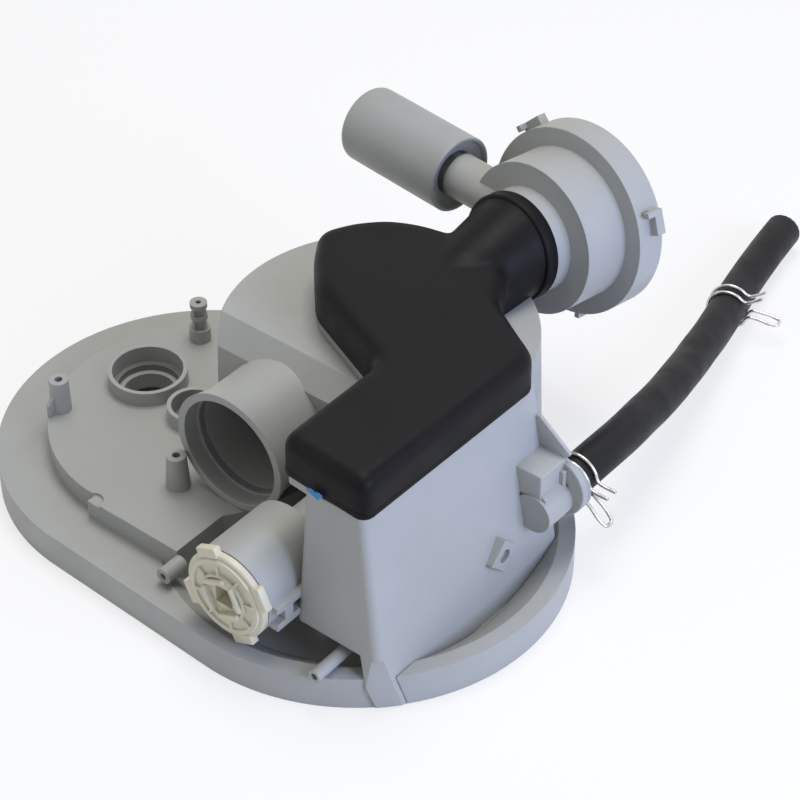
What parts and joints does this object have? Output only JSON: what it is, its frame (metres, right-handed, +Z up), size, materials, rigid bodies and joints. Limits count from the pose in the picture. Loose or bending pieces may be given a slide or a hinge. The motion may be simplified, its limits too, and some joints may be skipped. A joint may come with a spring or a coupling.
{
  "type": "dishwasher_sump_assembly",
  "caption": "Grey plastic dishwasher sump, upside down on its rim, with a black suction cover, a pump volute with a soft outlet sleeve, a rotary valve and a drain hose in wire clamps.",
  "frame": {"origin": "on the axis of the filter well, on the plane that the rim rests on", "axes": "+X to the side chamber, +Y to the pump volute, +Z up as the part lies upside down"},
  "size_m": [0.344, 0.4997, 0.1757],
  "materials": {
    "body_plastic": "fine matte moulding of glass-filled polypropylene",
    "shade_plastic": "matte moulding",
    "cream_plastic": "satin acetal moulding",
    "black_plastic": "satin black moulding",
    "grey_rubber": "soft grey rubber",
    "black_rubber": "matte black rubber",
    "zinc_wire": "bright zinc-plated spring wire"
  },
  "bodies": {
    "sump": {"sump_base": "body_plastic", "well_housing": "body_plastic", "tub_gasket": "grey_rubber", "large_port_seal": "grey_rubber", "small_port_seal": "grey_rubber", "inlet_stub_seal": "grey_rubber", "ribbed_stud": "body_plastic", "cover_gasket": "black_rubber", "suction_cover": "black_plastic", "elbow_seal": "grey_rubber", "pump_volute": "body_plastic", "wear_ring": "shade_plastic", "motor_seal": "grey_rubber", "outlet_sleeve": "grey_rubber", "drain_spigot": "shade_plastic", "flap_seat": "black_rubber", "flap_pin": "zinc_wire", "drain_hose": "black_rubber", "near_hose_clamp": "zinc_wire", "far_hose_clamp": "zinc_wire"},
    "cap": {"valve_cap": "cream_plastic", "valve_cap_seal": "black_rubber", "rotor_seal": "black_rubber"},
    "rotor": {"valve_rotor": "cream_plastic"},
    "flap": {"non_return_flap": "black_rubber"}
  },
  "joints": [
    {"name": "valve_cap_turn", "type": "hinge", "parent": "sump", "child": "cap", "pos_m": [0.029, -0.157, 0.0495], "axis": [0, -1, 0], "range_deg": [0, 25]},
    {"name": "valve_rotor_turn", "type": "hinge", "parent": "cap", "child": "rotor", "pos_m": [0.029, -0.157, 0.0495], "axis": [0, -1, 0], "continuous": true},
    {"name": "flap_swing", "type": "hinge", "parent": "sump", "child": "flap", "pos_m": [0.113, 0, 0.0594], "axis": [1, 0, 0], "range_deg": [0, 50]}
  ]
}
